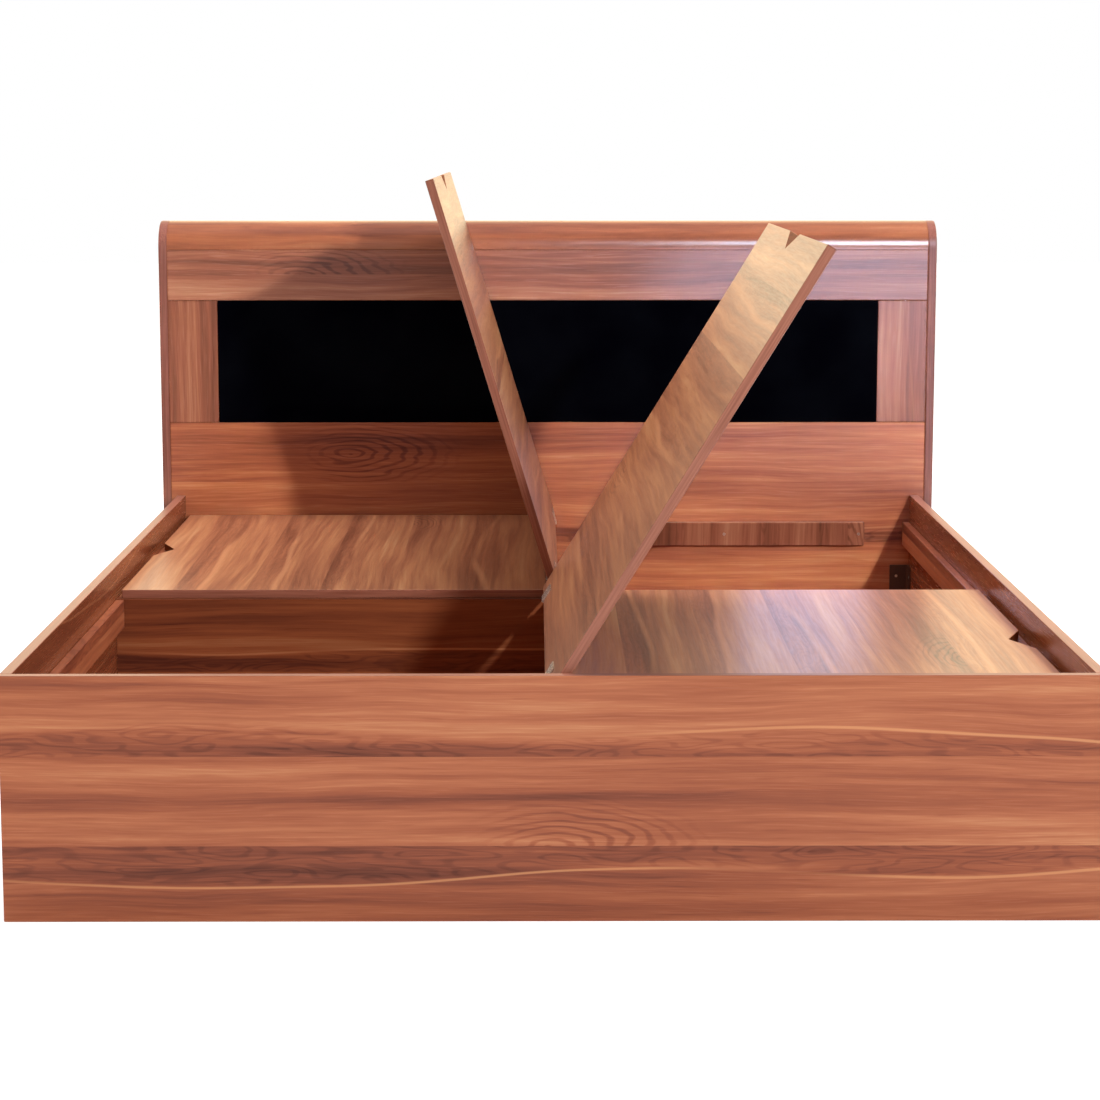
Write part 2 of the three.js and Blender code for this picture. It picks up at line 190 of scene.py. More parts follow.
def shown_rays(tree: NodeTree) -> Node:
    """Add nodes that give 1 to rays that show a surface and 0 to those that only light.

    Args:
        tree: the node tree to add to.

    Returns:
        The node whose first output says so.
    """
    path = add_node(tree, "ShaderNodeLightPath").outputs
    seen = add_node(
        tree, MATH, (path["Is Camera Ray"], path["Is Glossy Ray"]), operation="MAXIMUM")
    return add_node(tree, MATH, (seen, path["Is Transmission Ray"]), operation="MAXIMUM")


def turned_place(tree: NodeTree, turn: Matrix | None) -> NodeSocket:
    """Give the place on a piece, turned back to where the piece was drawn.

    Args:
        tree: the node tree to add to.
        turn: the turn from the shown place to the drawn one, or None for the same place.

    Returns:
        The socket with the object coordinates.
    """
    place = add_node(tree, "ShaderNodeTexCoord").outputs["Object"]
    if turn is None:
        return place
    shift, quaternion, _ = turn.decompose()
    return add_node(tree, "ShaderNodeMapping", {
        "Vector": place, "Location": shift, "Rotation": quaternion.to_euler()}).outputs[0]


# Finishes


@dataclass(frozen=True)
class Finish:
    """A surface finish that one principled shader shows."""

    name: str

    def surface(self, tree: NodeTree) -> dict[str, Any]:
        """Add the nodes of the pattern, and give the shader's inputs."""
        raise NotImplementedError

    def build(self) -> Material:
        """Make the material."""
        material = bpy.data.materials.new(self.name)
        tree = emptied_tree(material)
        shader = add_node(tree, "ShaderNodeBsdfPrincipled", self.surface(tree))
        add_node(tree, "ShaderNodeOutputMaterial", {"Surface": shader})
        return material


class Grain(Enum):
    """Which object axes lie along the grain, across the planks and through the board."""

    LEVEL = (0, 2, 1)
    UPRIGHT = (2, 0, 1)
    LENGTHWISE_FLAT = (1, 0, 2)
    LENGTHWISE_EDGE = (1, 2, 0)
    UPRIGHT_SIDE = (2, 1, 0)


class Noise(Enum):
    """Noises of the walnut print, by what they draw.

    Each has its changes in a metre along the grain, across it and through the board, and its
    detail.
    """

    SWAY = (1.6, 4.0, 3.5, 2.0)
    BORDER = (1.2, 3.0, 3.0, 1.0)
    CALM = (1.6, 7.0, 4.0, 0.0)
    KNOTS = (8.0, 46.0, 20.0, 1.0)
    WANDER = (7.0, 40.0, 30.0, 2.0)
    STREAKS = (0.9, 24.0, 12.0, 4.0)
    LINES = (3.5, 130.0, 60.0, 4.0)
    FLECKS = (14.0, 210.0, 60.0, 1.0)
    FIBRE = (15.0, 420.0, 330.0, 2.0)

    def draw(self, tree: NodeTree, spot: Sequence[Any], slide: Any = 0.0) -> Node:
        """Add the noise, from 0 to 1 with its middle at a half.

        Args:
            tree: the material's node tree.
            spot: the place along the grain, across it and through the board.
            slide: how far the noise is slid along the grain.

        Returns:
            The noise node.
        """
        *stretch, detail = self.value
        vector = add_node(tree, "ShaderNodeCombineXYZ", [
            add_node(tree, MATH, (part, often, move), operation="MULTIPLY_ADD")
            for part, often, move in zip(spot, stretch, (slide, 0.0, 0.0))])
        return add_node(tree, NOISE, {
            "Vector": vector, "Scale": 1.0, "Detail": detail, "Roughness": 0.5})


@dataclass(frozen=True)
class PrintPlace:
    """The place on the walnut print, and what chance gives the plank there.

    The place has the grain's sway in it. The join is 0 for the plank's lower side and 1 for
    its upper one, and the share is how far up the plank the place lies.
    """

    tree: NodeTree
    spot: tuple[Node, Node, NodeSocket]
    slide: Node
    tint: NodeSocket
    arched: Node
    join: Node
    share: Node

    def noise(self, kind: Noise) -> Node:
        """Add a noise of which each plank has its own stretch."""
        return kind.draw(self.tree, self.spot, self.slide)


@dataclass(frozen=True)
class WalnutLaminate(Finish):
    """Melamine faced board with a printed walnut decor under a gloss overlay.

    The print gives planks about 130 mm wide with cathedral figure, dark heartwood bands and
    thin pale sapwood lines. The overlay gives a clear, slightly wavy reflection. Lengths are
    in metres. Weights are shares of the way from the darkest tone to the palest.
    """

    grain: Grain
    cut_along: float = 0.0
    cut_across: float = 0.0
    turn: Matrix | None = None
    roughness: float = 0.24
    roughness_steps: Span = (-0.03, 0.05)
    gloss: float = 0.16
    tones: Stops = MIDDLE_TONES
    sapwood: str = "#d99b6d"
    seed: float = 0.0
    sway: float = 1.0
    sway_reach: float = 0.05
    plank_width: float = 0.131
    plank_slide: float = 11.0
    plank_tint: float = 0.12
    lower_joins: float = 0.65
    arched_planks: float = 0.4
    heart: float = 0.2
    heart_width: float = 0.035
    heart_wander: float = 0.13
    heart_border: Span = (-0.012, 0.003)
    heart_on_arched: float = 0.15
    eyes_to_heart: float = 0.6
    eye_rings: float = 7.0
    sap_core: float = 0.0007
    sap_width: float = 0.0032
    sap_strength: float = 0.85
    sap_breaks: tuple[float, float, float, float] = (0.38, 0.52, 0.1, 0.8)
    figure: float = 0.26
    figure_spacing: float = 1.7
    figure_slimness: float = 0.32
    figure_rise: float = 0.0
    figure_start: Span = (-0.13, 0.02)
    figure_border: Span = (0.035, 0.085)
    rings_in_metre: float = 108.0
    ring_wander: float = 2.4
    base_tone: float = 0.02
    streaks: float = 1.12
    lines: float = 0.6
    flecks: float = 0.08
    fleck_range: Span = (0.64, 0.8)
    fibre: float = 0.24
    fibre_range: Span = (0.3, 0.7)
    relief: float = 0.05
    waves_in_metre: float = 34.0
    wave_height: float = 0.0004

    def find_place(self, tree: NodeTree) -> PrintPlace:
        """Find the place on the print and draw lots for its plank.

        The grain sways sideways by about 10 mm over a metre. Each plank has its own tone, its
        own stretch of grain and its own figure on one of its two joins.

        Args:
            tree: the material's node tree.

        Returns:
            The place and the plank's lots.
        """
        node = partial(add_node, tree)
        axes = node("ShaderNodeSeparateXYZ", (turned_place(tree, self.turn),)).outputs
        along, across, through = (axes[i] for i in self.grain.value)
        along = node(MATH, (along, self.cut_along), operation="ADD")
        across = node(MATH, (across, self.cut_across), operation="ADD")
        sway = Noise.SWAY.draw(tree, (along, across, through))
        swayed = node(
            MATH, (sway, self.sway_reach * self.sway, across), operation="MULTIPLY_ADD")
        planks = node(MATH, (across, self.plank_width), operation="DIVIDE")
        row = node(MATH, (planks,), operation="FLOOR")
        row = node(MATH, (row, self.seed), operation="ADD")
        chance = node("ShaderNodeTexWhiteNoise", {"W": row}, noise_dimensions="1D").outputs
        lots = node("ShaderNodeSeparateColor", (chance["Color"],)).outputs
        return PrintPlace(
            tree=tree, spot=(along, swayed, through), tint=lots[0],
            slide=node(MATH, (chance["Value"], self.plank_slide), operation="MULTIPLY"),
            arched=node(MATH, (lots[2], self.arched_planks), operation="LESS_THAN"),
            join=node(MATH, (lots[1], self.lower_joins), operation="GREATER_THAN"),
            share=node(MATH, (planks,), operation="FRACT"))

    def draw_heartwood(self, place: PrintPlace) -> tuple[Node, Node, Node]:
        """Draw a dark band with small eyes along the join, up to 65 mm wide.

        It ends in a pale sapwood line 2 mm wide that wanders and breaks off.

        Args:
            place: the place on the print.

        Returns:
            The nodes with the heartwood, its eyes and the sapwood, from 0 to 1.
        """
        node = partial(add_node, place.tree)
        off_join = node(MATH, (place.share, place.join), operation="SUBTRACT")
        off_join = node(MATH, (off_join,), operation="ABSOLUTE")
        off_join = node(MATH, (off_join, self.plank_width), operation="MULTIPLY")
        wander = self.heart_wander * self.sway
        width = node(MATH, (
            place.noise(Noise.BORDER), wander, self.heart_width - wander / 2),
            operation="MULTIPLY_ADD")
        beyond = node(MATH, (off_join, width), operation="SUBTRACT")
        plain = node(
            MATH, (place.arched, self.heart_on_arched - 1.0, 1.0), operation="MULTIPLY_ADD")
        heart = node(RANGE, (beyond, *self.heart_border, 1.0, 0.0), **SMOOTHLY)
        heart = node(MATH, (heart, plain), operation="MULTIPLY")

        off_border = node(MATH, (beyond,), operation="ABSOLUTE")
        sap = node(RANGE, (
            off_border, self.sap_core, self.sap_width, self.sap_strength, 0.0), **SMOOTHLY)
        sap = node(MATH, (sap, plain), operation="MULTIPLY")
        breaks = node(RANGE, (place.noise(Noise.CALM), *self.sap_breaks), **SMOOTHLY)
        sap = node(MATH, (sap, breaks), operation="MULTIPLY")

        eyes = node(
            MATH, (place.noise(Noise.KNOTS), math.tau * self.eye_rings), operation="MULTIPLY")
        eyes = node(MATH, (eyes,), operation="SINE")
        eyes = node(RANGE, (eyes, 0.0, 1.0, 0.0, 1.0), **SMOOTHLY)
        eyes = node(MATH, (heart, eyes), operation="MULTIPLY")
        return heart, eyes, sap

    def draw_cathedral(self, place: PrintPlace) -> Node:
        """Draw nested arches on the join, three times as long as they are high.

        They are 9 mm apart across the grain and fade out lengthwise.

        Args:
            place: the place on the print.

        Returns:
            The node with the figure, from 0 to 1.
        """
        node = partial(add_node, place.tree)
        reach = node(MATH, (place.spot[0], place.slide), operation="ADD")
        reach = node(MATH, (reach, self.figure_spacing), operation="DIVIDE")
        reach = node(MATH, (reach,), operation="FRACT")
        reach = node(MATH, (reach, 0.5), operation="SUBTRACT")
        reach = node(MATH, (reach, self.figure_spacing), operation="MULTIPLY")
        span = node(MATH, (reach, self.figure_slimness), operation="MULTIPLY")
        middle = node(MATH, (place.join, self.figure_rise), operation="ADD")
        high = node(MATH, (place.share, middle), operation="SUBTRACT")
        high = node(MATH, (high, self.plank_width), operation="MULTIPLY")
        high = node(MATH, (high, high), operation="MULTIPLY")
        far = node(MATH, (span, span, high), operation="MULTIPLY_ADD")
        far = node(MATH, (far,), operation="SQRT")
        rings = node(MATH, (far, self.rings_in_metre), operation="MULTIPLY")
        rings = node(
            MATH, (place.noise(Noise.WANDER), self.ring_wander, rings), operation="MULTIPLY_ADD")
        rings = node(MATH, (rings, math.tau), operation="MULTIPLY")
        rings = node(MATH, (rings,), operation="SINE")
        figure = node(RANGE, (rings, 0.0, 1.0, 0.0, 1.0), **SMOOTHLY)
        lengthwise = node(RANGE, (reach, *self.figure_start, 0.0, 1.0), **SMOOTHLY)
        outwards = node(RANGE, (far, *self.figure_border, 1.0, 0.0), **SMOOTHLY)
        for part in (lengthwise, outwards, place.arched):
            figure = node(MATH, (figure, part), operation="MULTIPLY")
        return figure

    def surface(self, tree: NodeTree) -> dict[str, Any]:
        """Draw the planks, figure, streaks and fibre under the gloss overlay.

        Args:
            tree: the material's node tree.

        Returns:
            The shader's inputs.
        """
        node = partial(add_node, tree)
        place = self.find_place(tree)
        heart, eyes, sap = self.draw_heartwood(place)

        # Streaks run the length of a plank, 5 to 20 mm wide, between shorter lines and dark
        # flecks. The fibre is drawn 2 to 3 mm wide, because its real 0.2 mm is too fine to show.
        flecks = node(
            RANGE, (place.noise(Noise.FLECKS), *self.fleck_range, 0.0, 1.0), **SMOOTHLY)
        fibre = Noise.FIBRE.draw(tree, place.spot)
        # Each layer has its weight, and the value at which it leaves the tone as it is.
        layers = (
            (place.noise(Noise.STREAKS), self.streaks, 0.0),
            (place.tint, self.plank_tint, 0.5),
            (place.noise(Noise.LINES), self.lines, 0.5),
            (heart, -self.heart, 0.0),
            (eyes, -self.heart * self.eyes_to_heart, 0.0),
            (self.draw_cathedral(place), -self.figure, 0.0),
            (flecks, -self.flecks, 0.0),
            (fibre, self.fibre, 0.5))
        tone: Any = self.base_tone - sum(weight * calm for _, weight, calm in layers)
        for layer, weight, _ in layers:
            tone = node(MATH, (layer, weight, tone), operation="MULTIPLY_ADD")
        walnut = node("ShaderNodeMix", {
            0: sap, 6: set_stops(node(RAMP, (tone,)), self.tones), 7: linear(self.sapwood),
        }, data_type="RGBA")

        # The pressed overlay waves over 20 to 40 mm and has a faint grain relief.
        wave = node(NOISE, {
            "Vector": node("ShaderNodeTexCoord").outputs["Object"],
            "Scale": self.waves_in_metre, "Detail": 1.0, "Roughness": 0.4})
        height = node(MATH, (fibre, self.relief, wave), operation="MULTIPLY_ADD")
        return {
            "Base Color": walnut.outputs[2],
            "Roughness": node(RANGE, (fibre, *self.fibre_range, *(
                self.roughness + step for step in self.roughness_steps))),
            "Specular IOR Level": self.gloss,
            "Normal": node("ShaderNodeBump", {
                "Height": height, "Strength": 0.5, "Distance": self.wave_height}),
        }


@dataclass(frozen=True)
class EdgeBanding(Finish):
    """Thin ABS edge strip in a pinkish walnut print, satin, with fine lines along it."""

    line_stretch: Point
    shades: Stops = ((0.3, "#8a5544"), (0.7, "#a9705c"))
    turn: Matrix | None = None
    gloss: float = 0.28
    roughness: Span = (0.3, 0.42)

    def surface(self, tree: NodeTree) -> dict[str, Any]:
        """Draw the lines, with a relief that is hardly felt."""
        node = partial(add_node, tree)
        stretched = node("ShaderNodeMapping", {
            "Vector": turned_place(tree, self.turn), "Scale": self.line_stretch})
        lines = node(NOISE, {"Vector": stretched, "Scale": 1.0, "Detail": 3.0})
        return {
            "Base Color": set_stops(node(RAMP, (lines,)), self.shades),
            "Roughness": node(RANGE, (lines, 0.0, 1.0, *self.roughness)),
            "Specular IOR Level": self.gloss,
            "Normal": node("ShaderNodeBump", {
                "Height": lines, "Strength": 0.2, "Distance": 0.0002}),
        }


@dataclass(frozen=True)
class RawBoard(Finish):
    """Bare particle board: matt, pale brown, with wood flakes 1 to 4 mm across."""

    name: str = "raw_particle_board"
    shades: Stops = ((0.15, "#9c7d5b"), (0.5, "#b2946e"), (0.85, "#c6ab86"))
    flakes_in_metre: float = 320.0
    clouds_in_metre: float = 14.0
    flake_share: float = 0.6

    def surface(self, tree: NodeTree) -> dict[str, Any]:
        """Draw flakes of different tones over wider, cloudy patches."""
        node = partial(add_node, tree)
        place = node("ShaderNodeTexCoord").outputs["Object"]
        flakes = node("ShaderNodeTexVoronoi", {"Vector": place, "Scale": self.flakes_in_metre})
        tones = node("ShaderNodeSeparateColor", (flakes.outputs["Color"],))
        cloud = node(NOISE, {"Vector": place, "Scale": self.clouds_in_metre, "Detail": 5.0})
        mixed = node("ShaderNodeMix", {0: self.flake_share, 2: cloud, 3: tones})
        return {
            "Base Color": set_stops(node(RAMP, (mixed,)), self.shades),
            "Roughness": 0.85,
            "Normal": node("ShaderNodeBump", {
                "Height": mixed, "Strength": 0.4, "Distance": 0.0003}),
        }


@dataclass(frozen=True)
class BlackGlass(Finish):
    """Float glass painted black behind: near black, smooth and faintly smeared.

    It reflects hardly anything, because the photographed glass stays dark beside the white
    surroundings.
    """

    name: str = "black_painted_glass"
    shades: Stops = ((0.4, "#020207"), (0.75, "#07090f"))
    smears_in_metre: float = 7.0
    smear_range: Span = (0.35, 0.75)
    roughness: Span = (0.03, 0.09)
    gloss: float = 0.002

    def surface(self, tree: NodeTree) -> dict[str, Any]:
        """Draw wide smears, a little duller and bluer than the glass between them."""
        node = partial(add_node, tree)
        place = node("ShaderNodeTexCoord").outputs["Object"]
        smears = node(NOISE, {"Vector": place, "Scale": self.smears_in_metre, "Detail": 4.0})
        return {
            "Base Color": set_stops(node(RAMP, (smears,)), self.shades),
            "Roughness": node(RANGE, (smears, *self.smear_range, *self.roughness)),
            "Specular IOR Level": self.gloss,
        }


@dataclass(frozen=True)
class PressedSteel(Finish):
    """Pressed steel with faint rolling lines: plated with nickel or zinc, or a matt dark brown.

    Plating gives a soft metal sheen. The dark brown is painted shade that sinks the corner
    brackets into shadow; it is not metal, so its metallic share is 0.
    """

    shades: Stops = ((0.3, "#cfccc6"), (0.7, "#ece9e3"))
    roughness: Span = (0.2, 0.38)
    metallic: float = 1.0
    line_stretch: Point = (900.0, 60.0, 900.0)

    def surface(self, tree: NodeTree) -> dict[str, Any]:
        """Draw the rolling lines."""
        node = partial(add_node, tree)
        stretched = node("ShaderNodeMapping", {
            "Vector": node("ShaderNodeTexCoord").outputs["Object"],
            "Scale": self.line_stretch})
        lines = node(NOISE, {"Vector": stretched, "Scale": 1.0, "Detail": 2.0})
        return {
            "Base Color": set_stops(node(RAMP, (lines,)), self.shades),
            "Roughness": node(RANGE, (lines, 0.0, 1.0, *self.roughness)),
            "Metallic": self.metallic,
        }


# Modelling by hand, in code


def deselect_all() -> None:
    """Leave edit mode, and leave no object selected."""
    if bpy.context.object is not None and bpy.context.object.mode != "OBJECT":
        bpy.ops.object.mode_set(mode="OBJECT")
    bpy.ops.object.select_all(action="DESELECT")


def only(piece: Object) -> None:
    """Make one piece the only selected and the active object."""
    deselect_all()
    piece.select_set(True)
    bpy.context.view_layer.objects.active = piece


def apply_place(piece: Object) -> None:
    """Move a piece's place, turn and size into its mesh."""
    only(piece)
    bpy.ops.object.transform_apply(location=True, rotation=True, scale=True)


def select_where(piece: Object, part: str, test: Callable[[Any], bool]) -> None:
    """Select the vertices, edges or faces that pass a test, in edit mode.

    Args:
        piece: the piece in edit mode.
        part: VERT, EDGE or FACE.
        test: says whether one of them is wanted.
    """
    bpy.ops.mesh.select_mode(type=part)
    bpy.ops.mesh.select_all(action="DESELECT")
    mesh = bmesh.from_edit_mesh(piece.data)
    rows = {"VERT": mesh.verts, "EDGE": mesh.edges, "FACE": mesh.faces}[part]
    for row in [row for row in rows if test(row)]:
        row.select_set(True)
    mesh.select_flush_mode()
    bmesh.update_edit_mesh(piece.data)


def select_at(piece: Object, part: str, **spot: float) -> None:
    """Select the vertices or edges that lie at given coordinates, in edit mode.

    Args:
        piece: the piece in edit mode.
        part: VERT or EDGE.
        **spot: the x, y or z that every point of them has, in metres.
    """
    select_where(piece, part, lambda row: all(
        abs(getattr(point.co, axis) - value) < NEAR
        for point in (row.verts if part == "EDGE" else [row])
        for axis, value in spot.items()))


def is_corner(edge: bmesh.types.BMEdge) -> bool:
    """Say whether an edge lies between two faces that meet at a corner."""
    return len(edge.link_faces) == 2 and edge.calc_face_angle(0.0) > math.radians(CORNER_DEG)


def is_board_face(face: bmesh.types.BMFace) -> bool:
    """Say whether a face is one of a board's large level or upright faces."""
    return max(abs(part) for part in face.normal) > SQUARE and face.calc_area() > BOARD_FACE


def finish_shape(piece: Object, arris: float) -> None:
    """Ease a solid's corners, turn its faces outwards and shade its curves smooth.

    Args:
        piece: the solid.
        arris: width of the eased corner.
    """
    only(piece)
    bpy.ops.object.mode_set(mode="EDIT")
    bpy.ops.mesh.select_all(action="SELECT")
    bpy.ops.mesh.remove_doubles(threshold=WELD)
    bpy.ops.mesh.normals_make_consistent(inside=False)
    select_where(piece, "EDGE", is_corner)
    bpy.ops.mesh.bevel(offset=arris, segments=2, affect="EDGES")
    bpy.ops.object.mode_set(mode="OBJECT")
    bpy.ops.object.shade_smooth_by_angle(angle=math.radians(CURVE_DEG))
    bpy.ops.object.mode_set(mode="EDIT")
    select_where(piece, "FACE", is_board_face)
    bpy.ops.mesh.faces_shade_flat()
    bpy.ops.object.mode_set(mode="OBJECT")


def new_block(name: str, low: Point, high: Point) -> Object:
    """Add a block between two corners, with its place in its mesh.

    Args:
        name: the piece's name.
        low: lowest corner.
        high: highest corner.

    Returns:
        The block.
    """
    deselect_all()
    middle = [(a + b) / 2 for a, b in zip(low, high)]
    size = [b - a for a, b in zip(low, high)]
    bpy.ops.mesh.primitive_cube_add(size=1.0, location=middle, scale=size)
    piece = bpy.context.object
    piece.name = name
    apply_place(piece)
    return piece


def dress(
    piece: Object,
    face: Material,
    *others: tuple[Material, Callable[[bmesh.types.BMFace], bool]],
) -> None:
    """Give a piece its face finish, and other finishes to the faces that pass a test.

    Args:
        piece: the piece.
        face: finish of the faces.
        *others: each other finish, and what says whether a face gets it.
    """
    piece.data.materials.clear()
    piece.data.materials.append(face)
    only(piece)
    for finish, is_wanted in others:
        piece.data.materials.append(finish)
        bpy.ops.object.mode_set(mode="EDIT")
        select_where(piece, "FACE", is_wanted)
        piece.active_material_index = len(piece.data.materials) - 1
        bpy.ops.object.material_slot_assign()
        bpy.ops.object.mode_set(mode="OBJECT")


def settle(piece: Object, body: str, nodes: Iterable[str] = ()) -> None:
    """Hang a piece on its body and the solids that it stands for.

    Args:
        piece: the finished piece.
        body: the body that it moves with.
        nodes: the CAD nodes that it replaces.
    """
    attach(piece, body)
    names = list(nodes)
    if names:
        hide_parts(*names)
    log.info("%s rides on %s: %d faces", piece.name, body, len(piece.data.polygons))


def cad_piece(name: str, material: Material) -> None:
    """Give a CAD node its finish in every slot that it has."""
    node = bpy.data.objects[name]
    if not node.material_slots:
        raise ValueError(f"{name} has no material slot")
    for place in node.material_slots:
        place.material = material
    log.info("%s dressed in %s", name, material.name)


# The bed's own sizes


@dataclass(frozen=True)
class BedSizes:
    """Places that several sub-assemblies share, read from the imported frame."""

    rail_inner_x: float
    head_y: float
    foot_y: float
    middle_y: float
    lid_top: float
    board: float = 0.018
    lid_board: float = 0.015

    @classmethod
    def from_frame(cls) -> "BedSizes":
        """Read the places from the rails, the headboard, the footboard and a closed lid."""
        rail_low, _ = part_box("side_rail_right")
        head_low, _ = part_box("headboard_lower_panel")
        _, foot_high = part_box("footboard")
        cross_low, cross_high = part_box("cross_divider")
        _, lid_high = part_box("lid_rear_left")
        return cls(
            rail_inner_x=rail_low[0], head_y=head_low[1], foot_y=foot_high[1],
            middle_y=(cross_low[1] + cross_high[1]) / 2, lid_top=lid_high[2])


# Headboard


@dataclass
class Headboard:
    """The hollow headboard: rounded top, two side caps, panels, stiles and the glass band."""

    sizes: BedSizes
    banding: Material
    raw: Material
    bullnose: float = 0.059
    arc_steps: int = 28
    moulding_arris: float = 0.0004
    cap_arris: float = 0.0022
    # Faces of a cap whose normal has less than this square to the board get the banding.
    cap_edge_normal: float = 0.75
    finish: dict[str, Material] = field(default_factory=dict)

    def build_moulding(self) -> None:
        """Spin the board's end round the top and draw it back, then draw it across the bed."""
        low, high = (Vector(p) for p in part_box("headboard_top_moulding"))
        board = self.sizes.board
        centre = (low.x, low.y + self.bullnose, low.z)
        deselect_all()
        bpy.ops.mesh.primitive_plane_add(size=1.0, location=(low.x, low.y + board / 2, low.z))
        piece = bpy.context.object
        piece.name = "rounded_top_moulding"
        piece.scale = (board, board, 1.0)
        apply_place(piece)
        bpy.ops.object.mode_set(mode="EDIT")
        select_where(piece, "VERT", lambda v: v.co.x > low.x)
        bpy.ops.mesh.delete(type="VERT")
        bpy.ops.mesh.select_all(action="SELECT")
        bpy.ops.transform.translate(value=(board / 2, 0.0, 0.0))
        bpy.ops.mesh.spin(
            steps=self.arc_steps, angle=math.pi / 2, center=centre, axis=(1.0, 0.0, 0.0))
        select_at(piece, "VERT", y=centre[1])
        bpy.ops.mesh.extrude_region_move(
            TRANSFORM_OT_translate={"value": (0.0, high.y - centre[1], 0.0)})
        bpy.ops.mesh.select_all(action="SELECT")
        bpy.ops.mesh.extrude_region_move(
            TRANSFORM_OT_translate={"value": (high.x - low.x, 0.0, 0.0)})
        bpy.ops.object.mode_set(mode="OBJECT")
        finish_shape(piece, self.moulding_arris)
        dress(piece, self.finish["moulding"])
        settle(piece, BED_BODY, ["headboard_top_moulding"])

    def build_cap(self, side: str) -> None:
        """Round a tall board's top front corner and band its narrow edge."""
        node = f"headboard_side_cap_{side}"
        low, high = (Vector(p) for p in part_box(node))
        piece = new_block(f"side_cap_{side}", low, high)
        bpy.ops.object.mode_set(mode="EDIT")
        select_at(piece, "EDGE", y=low.y, z=high.z)
        bpy.ops.mesh.bevel(offset=self.bullnose, segments=self.arc_steps, affect="EDGES")
        bpy.ops.object.mode_set(mode="OBJECT")
        finish_shape(piece, self.cap_arris)
        dress(piece, self.finish["upright"], (
            self.banding, lambda f: abs(f.normal.x) < self.cap_edge_normal))
        settle(piece, BED_BODY, [node])

    def build(self) -> None:
        """Model the rounded parts and dress the panels, the glass and the inner frame."""
        # Each finish has its grain and its cut, the place on the print, along and across.
        grain = WalnutLaminate
        halfway = Matrix.Rotation(-math.pi / 4, 4, "X")
        self.finish = {
            # The rounded top's darker tones are painted shade.
            "moulding": grain("walnut_postformed_top", Grain.LEVEL, 3.1, 0.42, halfway,
                              roughness=0.2, gloss=0.3, tones=SHADE_DARKENED_TONES).build(),
            "upright": grain("walnut_side_cap", Grain.UPRIGHT_SIDE, 1.7, 0.3).build(),
            "upper": grain("walnut_upper_panel", Grain.LEVEL, 5.2, 0.085, gloss=0.25,
                           tones=GREYER_TONES).build(),
            "lower": grain("walnut_lower_panel", Grain.LEVEL, 0.991, 0.003, seed=29.0,
                           figure_rise=0.45, sap_strength=0.4).build(),
            "stile": grain("walnut_stile", Grain.UPRIGHT, 2.2, 0.51, tones=GREYER_TONES).build(),
        }
        self.build_moulding()
        for side in ("left", "right"):
            self.build_cap(side)
            cad_piece(f"headboard_stile_{side}", self.finish["stile"])
        cad_piece("headboard_lower_panel", self.finish["lower"])
        cad_piece("headboard_upper_panel", self.finish["upper"])
        cad_piece("glass_band", BlackGlass().build())
        for name in ("glass_backing_board", "headboard_back_panel", "headboard_core_bottom_rail",
                     "headboard_core_top_rail", "headboard_core_post_left",
                     "headboard_core_post_centre", "headboard_core_post_right"):
            cad_piece(name, self.raw)


# Box of rails, footboard, dividers, ledgers and base


@dataclass
class Box:
    """The rails and footboard with banded top edges, and the boards inside."""

    sizes: BedSizes
    crosswise: Material
    lengthwise: Material
    raw: Material
    wall_arris: float = 0.0014
    # Faces of a wall whose normal has more than this upwards or endwise get the banding.
    wall_edge_normal: float = 0.5

    def build_wall(self, node: str, name: str, finish: Material) -> None:
        """Model one outer board over its CAD node, with banding on its top and ends."""
        low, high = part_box(node)
        piece = new_block(name, low, high)
        finish_shape(piece, self.wall_arris)
        end_axis, banding = (
            (0, self.crosswise) if node == "footboard" else (1, self.lengthwise))
        dress(piece, finish, (banding, lambda f: max(
            abs(f.normal.z), abs(f.normal[end_axis])) > self.wall_edge_normal))
        settle(piece, BED_BODY, [node])

    def build(self) -> None:
        """Model the outer walls and dress the inner boards."""
        grain = WalnutLaminate
        self.build_wall("footboard", "footboard_panel", grain(
            "walnut_footboard", Grain.LEVEL, 0.731, 0.019, seed=1985.0,
            tones=PALE_TONES).build())
        for side, cut in (("left", 4.4), ("right", 6.1)):
            # The rails' darker tones are painted shade.
            self.build_wall(f"side_rail_{side}", f"side_rail_panel_{side}", grain(
                f"walnut_rail_{side}", Grain.LENGTHWISE_EDGE, cut, 0.07, fibre=0.05,
                flecks=0.0, heart=0.06, lines=0.15, sap_strength=0.3, relief=0.0,
                tones=SHADE_DARKENED_TONES).build())
        # The boards inside the box take darker tones as painted shade.
        inside = grain("walnut_inside_level", Grain.LEVEL, 11.3, 0.09, roughness=0.3,
                       tones=SHADE_DARKENED_TONES).build()
        along = grain("walnut_inside_lengthwise", Grain.LENGTHWISE_EDGE, 7.7, 0.02,
                      roughness=0.3, fibre=0.08, heart=0.1, lines=0.3).build()
        bottom = grain("walnut_base", Grain.LENGTHWISE_FLAT, 9.1, 0.05, roughness=0.35).build()
        ledger = grain("walnut_ledger_upright", Grain.UPRIGHT, 3.3, 0.04, roughness=0.32,
                       plank_width=0.062, sap_strength=0.1, tones=GREYER_TONES).build()
        side_ledger = grain("walnut_side_ledger", Grain.LENGTHWISE_EDGE, 13.3, 0.11,
                            roughness=0.32).build()
        cad_piece("cross_divider", inside)
        cad_piece("centre_divider", along)
        for side in ("left", "right"):
            cad_piece(f"base_panel_{side}", bottom)
            cad_piece(f"base_cleat_outer_{side}", self.raw)
            cad_piece(f"base_cleat_inner_{side}", self.raw)
            for end in ("head", "foot"):
                cad_piece(f"{end}_ledger_{side}", ledger)
            for row in ("rear", "front"):
                cad_piece(f"rail_ledger_{row}_{side}", side_ledger)


# Lids


